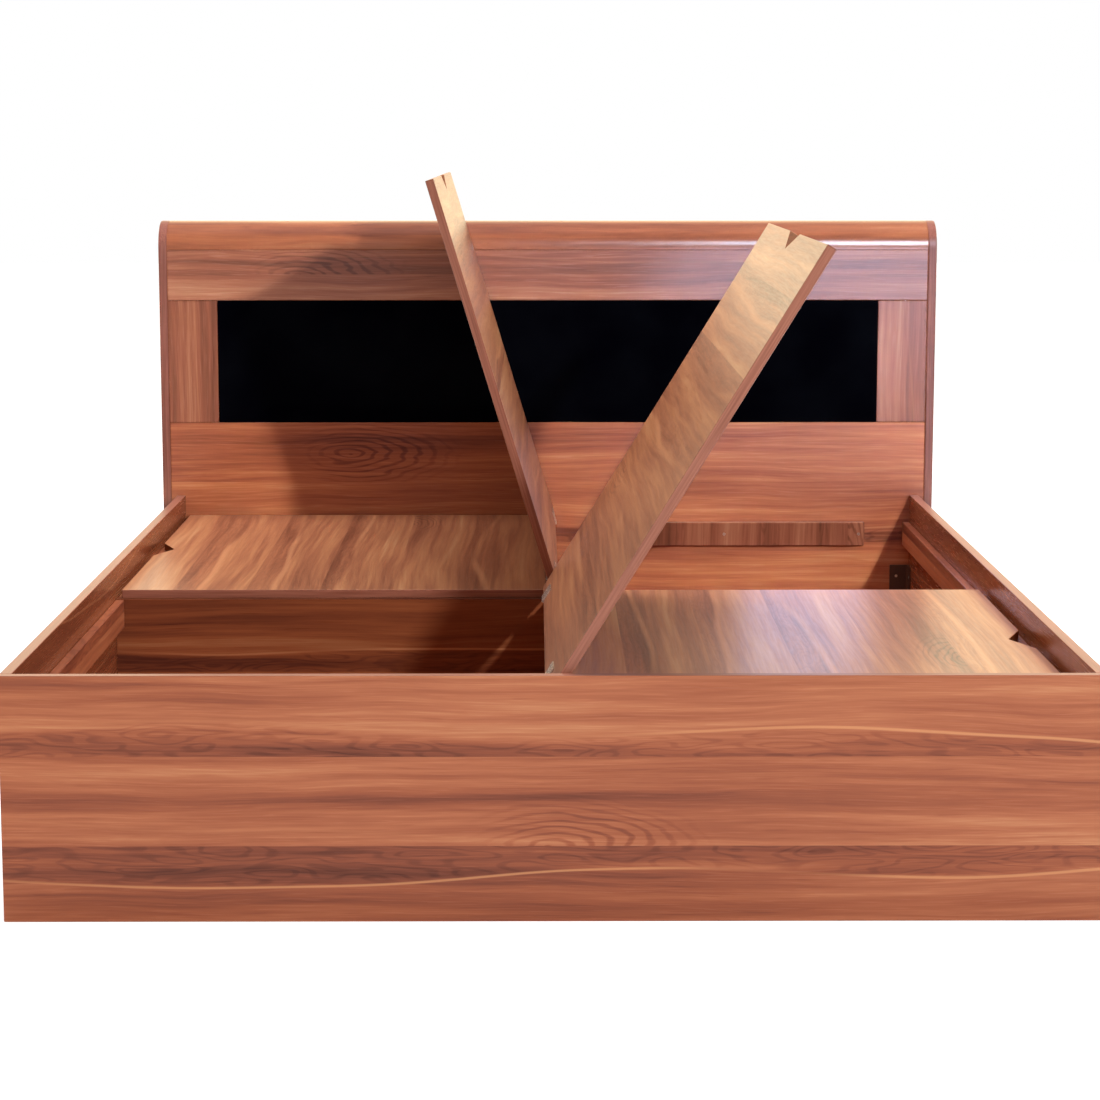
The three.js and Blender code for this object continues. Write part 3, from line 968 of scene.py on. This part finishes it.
@dataclass
class Lid:
    """One storage lid: a banded board with a wide finger notch in its free edge."""

    sizes: BedSizes
    stain_and_shade: Material
    side: str
    row: str
    open_deg: float
    cut_along: float
    notch_width: float = 0.162
    notch_depth: float = 0.030
    apex_round: float = 0.0033
    shoulder_round: float = 0.0025
    round_steps: int = 4
    pin_offset: float = 0.005
    pin_depth: float = 0.0033
    hinge_edge: float = 0.0033
    free_gap: float = 0.009
    end_gap: float = 0.003
    arris: float = 0.0012
    # Faces whose normal has less than this upwards are edges. Those of them that have more
    # than the second value along both other axes are the notch's.
    edge_normal: float = 0.6
    notch_normal: float = 0.2

    @property
    def sign(self) -> int:
        """Give 1 for a lid on the right and -1 on the left."""
        return 1 if self.side == "right" else -1

    @property
    def pin(self) -> Vector:
        """Give a point on the hinge line."""
        return Vector((
            self.sign * self.pin_offset, 0.0, self.sizes.lid_top - self.pin_depth))

    @property
    def opened(self) -> Matrix:
        """Give the turn from the closed place to the photographed one."""
        turn = Matrix.Rotation(-self.sign * math.radians(self.open_deg), 4, "Y")
        return Matrix.Translation(self.pin) @ turn @ Matrix.Translation(-self.pin)

    def lengthwise(self) -> tuple[float, float]:
        """Give where the lid starts and ends along the bed."""
        sizes = self.sizes
        if self.row == "rear":
            return sizes.middle_y + self.end_gap / 2, sizes.head_y - self.end_gap
        return sizes.foot_y + self.end_gap, sizes.middle_y - self.end_gap / 2

    def model(self) -> Object:
        """Draw the notched outline, raise it to the board's thickness and ease its edges."""
        sizes = self.sizes
        start, end = self.lengthwise()
        near = self.sign * (self.pin_offset + self.hinge_edge)
        far = self.sign * (sizes.rail_inner_x - self.free_gap)
        middle = (start + end) / 2
        deselect_all()
        bpy.ops.mesh.primitive_plane_add(
            size=1.0, location=((near + far) / 2, middle, sizes.lid_top - sizes.lid_board))
        piece = bpy.context.object
        piece.name = f"{self.row}_{self.side}_lid_panel"
        piece.scale = (abs(far - near), end - start, 1.0)
        apply_place(piece)

        # The free edge is divided in four. Its three points become the notch's shoulders and
        # apex, which are then rounded.
        bpy.ops.object.mode_set(mode="EDIT")
        select_at(piece, "EDGE", x=far)
        bpy.ops.mesh.subdivide(number_cuts=3)
        quarter = (end - start) / 4
        half = self.notch_width / 2
        inwards = -self.sign * self.notch_depth
        moves = (
            (-quarter, (0.0, quarter - half, 0.0)),
            (quarter, (0.0, half - quarter, 0.0)),
            (0.0, (inwards, 0.0, 0.0)))
        for place, move in moves:
            select_at(piece, "VERT", x=far, y=middle + place)
            bpy.ops.transform.translate(value=move)
        corners = (
            (far + inwards, middle, self.apex_round),
            (far, middle - half, self.shoulder_round),
            (far, middle + half, self.shoulder_round))
        for x, y, offset in corners:
            select_at(piece, "VERT", x=x, y=y)
            bpy.ops.mesh.bevel(offset=offset, segments=self.round_steps, affect="VERTICES")
        bpy.ops.mesh.select_all(action="SELECT")
        bpy.ops.mesh.extrude_region_move(
            TRANSFORM_OT_translate={"value": (0.0, 0.0, sizes.lid_board)})
        bpy.ops.object.mode_set(mode="OBJECT")
        finish_shape(piece, self.arris)
        return piece

    def build(self) -> None:
        """Model the lid, band its edges, darken its notch with stain and painted shade, and open
        it.
        """
        piece = self.model()
        turn = self.opened.inverted()
        laminate = WalnutLaminate(
            f"walnut_lid_{self.row}_{self.side}", Grain.LENGTHWISE_FLAT,
            cut_along=self.cut_along, cut_across=0.02, turn=turn, roughness=0.32, gloss=0.44,
            fibre=0.06, flecks=0.03, heart=0.12, sap_width=0.009, sap_strength=0.55,
            relief=0.0, sway=0.8, tones=LID_TONES).build()
        banding = EdgeBanding(
            f"abs_banding_{self.row}_{self.side}", (ALONG, ALONG, ACROSS), turn=turn).build()
        # Banding can't follow the notch, so its slanting faces get a dark brown instead: partly
        # a stained cut edge, partly painted shade in the notch.
        dress(
            piece, laminate, (banding, lambda f: abs(f.normal.z) < self.edge_normal),
            (self.stain_and_shade, lambda f: abs(f.normal.z) < self.edge_normal
             and min(abs(f.normal.x), abs(f.normal.y)) > self.notch_normal))
        piece.matrix_world = self.opened
        apply_place(piece)
        settle(piece, f"{self.row}_{self.side}_lid", [f"lid_{self.row}_{self.side}"])


# Fixings


@dataclass
class Fixings:
    """Nickel plated hinges, corner brackets in a dark brown that is painted shade, and the cross
    recess screws of the bed.
    """

    sizes: BedSizes
    plated: Material
    zinc: Material
    shade_brown: Material
    head_radius: float = 0.0033
    head_depth: float = 0.0012
    recess: float = 0.0019
    slot_width: float = 0.0009
    tip_share: float = 0.55
    rim: float = 0.0002
    pitch: float = 0.288
    rail_ledger_spread: float = 0.4
    hinge_pitch: float = 0.036
    fixed_leaf_face: float = 0.0108
    fixed_screw_z: float = 0.287
    moving_screw_reach: float = 0.016
    moving_screw_drop: float = 0.0135
    bracket_margin: float = 0.026
    bracket_face: float = 0.0023
    bracket_rows: Span = (0.114, 0.186)

    def model_screw(self) -> Object:
        """Model one countersunk head, facing up at the origin, with a cross recess."""
        deselect_all()
        bpy.ops.mesh.primitive_cylinder_add(
            vertices=20, radius=self.head_radius, depth=self.head_depth,
            location=(0.0, 0.0, -self.head_depth / 2))
        screw = bpy.context.object
        screw.name = "screw_head"
        apply_place(screw)
        bpy.ops.object.mode_set(mode="EDIT")
        select_where(screw, "FACE", lambda f: f.normal.z < -0.5)
        bpy.ops.transform.resize(value=(self.tip_share, self.tip_share, 1.0))
        select_where(screw, "FACE", lambda f: f.normal.z > 0.5)
        bpy.ops.mesh.bevel(offset=self.rim, segments=1, affect="EDGES")
        bpy.ops.object.mode_set(mode="OBJECT")
        half, deep = self.slot_width / 2, self.head_depth / 2
        for x, y, z in ((self.recess, half, deep), (half, self.recess, deep)):
            tool = new_block("recess", (-x, -y, -z), (x, y, z))
            only(screw)
            cut = screw.modifiers.new("recess", "BOOLEAN")
            cut.operation = "DIFFERENCE"
            cut.solver = "EXACT"
            cut.object = tool
            bpy.ops.object.modifier_apply(modifier=cut.name)
            bpy.data.objects.remove(tool)
        screw.data.materials.clear()
        screw.data.materials.append(self.zinc)
        return screw

    def place_screws(
        self, name: str, body: str, screw: Object, places: Sequence[Seat],
    ) -> None:
        """Copy the screw to each place, facing its direction, as one piece on a body.

        Args:
            name: the piece's name.
            body: the body that it moves with.
            screw: the modelled screw head.
            places: each screw's place and the way that it faces.
        """
        copies = []
        for place, facing in places:
            copy = screw.copy()
            copy.data = screw.data.copy()
            bpy.context.scene.collection.objects.link(copy)
            turn = facing.to_track_quat("Z", "Y").to_matrix().to_4x4()
            copy.matrix_world = Matrix.Translation(place) @ turn
            copies.append(copy)
        deselect_all()
        for copy in copies:
            copy.select_set(True)
        bpy.context.view_layer.objects.active = copies[0]
        bpy.ops.object.join()
        piece = bpy.context.object
        piece.name = name
        apply_place(piece)
        settle(piece, body)

    def ledger_places(self) -> list[Seat]:
        """Give the places of the screws along the eight ledgers."""
        places = []
        for side in ("left", "right"):
            for end, facing in (("head", -1.0), ("foot", 1.0)):
                low, high = (Vector(p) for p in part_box(f"{end}_ledger_{side}"))
                face = low.y if facing < 0 else high.y
                middle = (low.x + high.x) / 2
                for step in (-1, 0, 1):
                    places.append((
                        Vector((middle + step * self.pitch, face, (low.z + high.z) / 2)),
                        Vector((0.0, facing, 0.0))))
            for row in ("rear", "front"):
                low, high = (Vector(p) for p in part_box(f"rail_ledger_{row}_{side}"))
                face = low.x if side == "right" else high.x
                middle = (low.y + high.y) / 2
                spread = (high.y - low.y) * self.rail_ledger_spread
                for step in (-1, 0, 1):
                    places.append((
                        Vector((face, middle + step * spread, (low.z + high.z) / 2)),
                        Vector((-1.0 if side == "right" else 1.0, 0.0, 0.0))))
        return places

    def build(self, lids: Sequence[Lid]) -> None:
        """Dress the metal parts and screw everything on."""
        screw = self.model_screw()
        self.place_screws("ledger_screws", BED_BODY, screw, self.ledger_places())
        fixed: list[Seat] = []
        for lid in lids:
            turn = lid.opened.to_3x3()
            moving = []
            for end in ("head_end", "foot_end"):
                name = f"hinge_fixed_leaf_{lid.row}_{lid.side}_{end}"
                cad_piece(name, self.plated)
                cad_piece(f"hinge_moving_leaf_{lid.row}_{lid.side}_{end}", self.plated)
                low, high = (Vector(p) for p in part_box(name))
                centre = (low.y + high.y) / 2
                for step in (-0.5, 0.5):
                    y = centre + step * self.hinge_pitch
                    fixed.append((
                        Vector((lid.sign * self.fixed_leaf_face, y, self.fixed_screw_z)),
                        Vector((lid.sign, 0.0, 0.0))))
                    under = Vector((
                        lid.pin.x + lid.sign * self.moving_screw_reach, y,
                        lid.pin.z - self.moving_screw_drop))
                    moving.append((lid.opened @ under, turn @ Vector((0.0, 0.0, -1.0))))
            self.place_screws(
                f"lid_hinge_screws_{lid.row}_{lid.side}", f"{lid.row}_{lid.side}_lid", screw,
                moving)
        self.place_screws("divider_hinge_screws", BED_BODY, screw, fixed)
        self.place_screws("bracket_screws", BED_BODY, screw, self.bracket_places())
        bpy.data.objects.remove(screw)

    def bracket_places(self) -> list[Seat]:
        """Dress the four corner brackets and give the places of their screws."""
        sizes = self.sizes
        places = []
        margin, proud = self.bracket_margin, self.bracket_face
        for sign, side in ((-1, "left"), (1, "right")):
            for end, y, facing in (("head", sizes.head_y, -1), ("foot", sizes.foot_y, 1)):
                # The brackets' dark brown is painted shade.
                cad_piece(f"corner_bracket_{end}_{side}", self.shade_brown)
                for z in self.bracket_rows:
                    places.append((
                        Vector((sign * (sizes.rail_inner_x - margin), y + facing * proud, z)),
                        Vector((0.0, facing, 0.0))))
                    places.append((
                        Vector((sign * (sizes.rail_inner_x - proud), y + facing * margin, z)),
                        Vector((-sign, 0.0, 0.0))))
        return places


# Stage


@dataclass(frozen=True)
class Panel:
    """A flat lamp that the camera doesn't see.

    Attributes:
        name: the lamp's name.
        place: the middle of the panel.
        size: width and height.
        lean_deg: turn about X from facing down, 90 to face the camera.
        power: watts.
        colour: sRGB hex colour.
        swing_deg: turn about Z after that, above 0 to face left.
        lights: whether the panel lights matt surfaces.
        shines: whether the panel shows in reflections.
        headboard_only: whether only the headboard gets its light.
    """

    name: str
    place: Point
    size: Span
    lean_deg: float
    power: float
    colour: str
    swing_deg: float = 0.0
    lights: bool = True
    shines: bool = True
    headboard_only: bool = False

    def hang(self) -> None:
        """Add the lamp to the scene."""
        data = bpy.data.lights.new(self.name, "AREA")
        data.shape = "RECTANGLE"
        data.size, data.size_y = self.size
        data.energy = self.power
        data.color = linear(self.colour)[:3]
        lamp = bpy.data.objects.new(self.name, data)
        lamp.location = self.place
        lamp.rotation_euler = (
            math.radians(-self.lean_deg), 0.0, math.radians(self.swing_deg))
        lamp.visible_camera = False
        lamp.visible_diffuse = self.lights
        lamp.visible_glossy = self.shines
        bpy.context.scene.collection.objects.link(lamp)


# The last three only give shine: a broad haze and a highlight on the headboard, and the
# glare that its glass throws forward.
PANELS = (
    Panel("window_front", (2.6, -4.2, 2.3), (3.0, 2.0), -75.0, 20.0, "#f4f6ff", 30.0),
    Panel("window_right", (3.0, -1.6, 3.0), (2.0, 2.0), -45.0, 32.0, "#d8e2ff", 55.0,
          shines=False),
    Panel("low_left_fill", (-3.4, -2.4, 0.55), (2.0, 1.0), -90.0, 26.0, "#ffdcb8", -55.0,
          shines=False),
    Panel("overhead", (0.0, 0.75, 4.0), (3.2, 1.9), 0.0, 215.0, "#f8f4fa", shines=False),
    Panel("warm_wall_glow", (0.0, 3.4, 2.0), (5.0, 2.8), 90.0, 52.0, "#f2d068"),
    Panel("haze_front_right", (1.3, -4.5, 0.8), (1.7, 1.2), -90.0, 150.0, "#ccd6ff",
          lights=False, headboard_only=True),
    Panel("key_shine", (1.65, -4.3, 3.3), (1.7, 1.4), -68.0, 560.0, "#d6e6ff",
          lights=False, headboard_only=True),
    Panel("glare_off_glass", (0.55, 0.93, 0.62), (0.26, 0.3), 90.0, 0.7, "#c4d2ff",
          lights=False),
)


@dataclass
class Stage:
    """Camera, lamps, white floor and white surroundings."""

    camera_place: Point = (-0.0265, -4.8951, 1.1179)
    tilt_deg: float = 8.5
    turn_deg: float = 0.303
    # The focal length over the frame's width, in pixels of the camera fitted to the photograph.
    focal_share: float = 2758.26 / 1100
    sensor: float = 36.0
    key_place: Point = (1.69, -4.22, 2.25)
    key_power: float = 95.0
    key_colour: str = "#fffaf6"
    key_radius: float = 0.1
    world_light: float = 0.05
    floor_size: float = 40.0
    floor_drop: float = 0.0002
    glow_distances: Span = (1.6, 5.0)
    glow_levels: Span = (0.72, 1.0)

    def build_camera(self) -> None:
        """Place the camera where the photograph's perspective puts it."""
        data = bpy.data.cameras.new("camera")
        data.sensor_width = self.sensor
        data.lens = self.sensor * self.focal_share
        camera = bpy.data.objects.new("camera", data)
        camera.location = self.camera_place
        camera.rotation_euler = (
            math.radians(90 - self.tilt_deg), 0.0, -math.radians(self.turn_deg))
        bpy.context.scene.collection.objects.link(camera)
        bpy.context.scene.camera = camera

    def stand_key_lamp(self) -> None:
        """Stand a small lamp at the front right, with the slow falloff of one far away."""
        data = bpy.data.lights.new("key_lamp", "POINT")
        data.energy = self.key_power
        data.color = linear(self.key_colour)[:3]
        data.shadow_soft_size = self.key_radius
        data.use_nodes = True
        tree = data.node_tree
        falloff = add_node(tree, "ShaderNodeLightFalloff", {"Strength": 1.0})
        emission = next(n for n in tree.nodes if n.type == "EMISSION")
        tree.links.new(falloff.outputs["Linear"], emission.inputs["Strength"])
        lamp = bpy.data.objects.new("key_lamp", data)
        lamp.location = self.key_place
        lamp.visible_glossy = False
        bpy.context.scene.collection.objects.link(lamp)

    def keep_shines_on_headboard(self) -> None:
        """Let the panels that are for the headboard light it alone, once it is built."""
        receivers = bpy.data.collections.new("headboard_shine")
        for piece in bpy.context.scene.objects:
            if piece.name.startswith(("headboard_", "rounded_top_moulding", "side_cap_")):
                receivers.objects.link(piece)
        for panel in PANELS:
            if panel.headboard_only:
                bpy.data.objects[panel.name].light_linking.receiver_collection = receivers

    def build_world(self) -> None:
        """Surround the bed with white that shows in full but gives only a little light."""
        world = bpy.data.worlds.new("white_surroundings")
        bpy.context.scene.world = world
        tree = emptied_tree(world)
        node = partial(add_node, tree)
        shown = node("ShaderNodeBackground", (WHITE, 1.0))
        light = node("ShaderNodeBackground", (linear("#fff1e2"), self.world_light))
        mixed = node("ShaderNodeMixShader", (shown_rays(tree), light, shown))
        node("ShaderNodeOutputWorld", (mixed,))

    def build_floor(self) -> None:
        """Lay a white floor that keeps the bed's soft shadow and is pure white further off."""
        deselect_all()
        bpy.ops.mesh.primitive_plane_add(
            size=self.floor_size, location=(0.0, 0.0, -self.floor_drop))
        floor = bpy.context.object
        floor.name = "studio_floor"
        material = bpy.data.materials.new("white_studio_floor")
        tree = emptied_tree(material)
        node = partial(add_node, tree)
        paint = node("ShaderNodeBsdfDiffuse", (linear("#f4f4f3"),))
        place = node("ShaderNodeTexCoord").outputs["Object"]
        away = node("ShaderNodeVectorMath", (place,), operation="LENGTH").outputs["Value"]
        whiter = node(RANGE, (away, *self.glow_distances, *self.glow_levels))
        glow = node("ShaderNodeEmission", (WHITE, whiter))
        both = node("ShaderNodeAddShader", (paint, glow))
        mixed = node("ShaderNodeMixShader", (shown_rays(tree), paint, both))
        node("ShaderNodeOutputMaterial", {"Surface": mixed})
        floor.data.materials.append(material)

    def build(self) -> None:
        """Build the whole stage."""
        self.build_camera()
        self.stand_key_lamp()
        for panel in PANELS:
            panel.hang()
        self.build_world()
        self.build_floor()
        bpy.context.scene.view_settings.view_transform = "Standard"


def main() -> None:
    """Build the bed and its stage in order."""
    logging.basicConfig(level=logging.INFO, format="%(name)s: %(message)s")
    sizes = BedSizes.from_frame()
    stage = Stage()
    stage.build()
    raw = RawBoard().build()
    crosswise = EdgeBanding("abs_banding_crosswise", (ALONG, ACROSS, ACROSS)).build()
    lengthwise = EdgeBanding("abs_banding_lengthwise", (ACROSS, ALONG, ACROSS)).build()
    upright = EdgeBanding(
        "abs_banding_upright", (ACROSS, ACROSS, ALONG), ((0.3, "#6f4034"), (0.7, "#8e594b")),
        gloss=0.16).build()
    Headboard(sizes, upright, raw).build()
    Box(sizes, crosswise, lengthwise, raw).build()
    # The notch walls' dark brown is partly a stained cut edge and partly painted shade.
    stain_and_shade = EdgeBanding(
        "stained_and_shaded_cut_edge", (60.0, 60.0, ACROSS), ((0.3, "#59290f"), (0.7, "#7c4020")),
        gloss=0.05).build()
    lids = [
        Lid(sizes, stain_and_shade, "left", "rear", open_deg=0.0, cut_along=2.6),
        Lid(sizes, stain_and_shade, "right", "rear", open_deg=106.9, cut_along=14.2),
        Lid(sizes, stain_and_shade, "left", "front", open_deg=121.5, cut_along=10.4),
        Lid(sizes, stain_and_shade, "right", "front", open_deg=0.0, cut_along=6.6),
    ]
    for lid in lids:
        lid.build()
    plated = PressedSteel("nickel_plated_steel").build()
    zinc = PressedSteel("zinc_plated_screw", roughness=(0.3, 0.45)).build()
    # The brackets' dark brown is painted shade: it sinks them into the shadow of the box's
    # corners.
    shade_brown = PressedSteel(
        "shade_brown_steel", ((0.3, "#3a231a"), (0.7, "#4b2f24")), (0.42, 0.55),
        metallic=0.0).build()
    Fixings(sizes, plated, zinc, shade_brown).build(lids)
    stage.keep_shines_on_headboard()


if __name__ == "__main__":
    main()
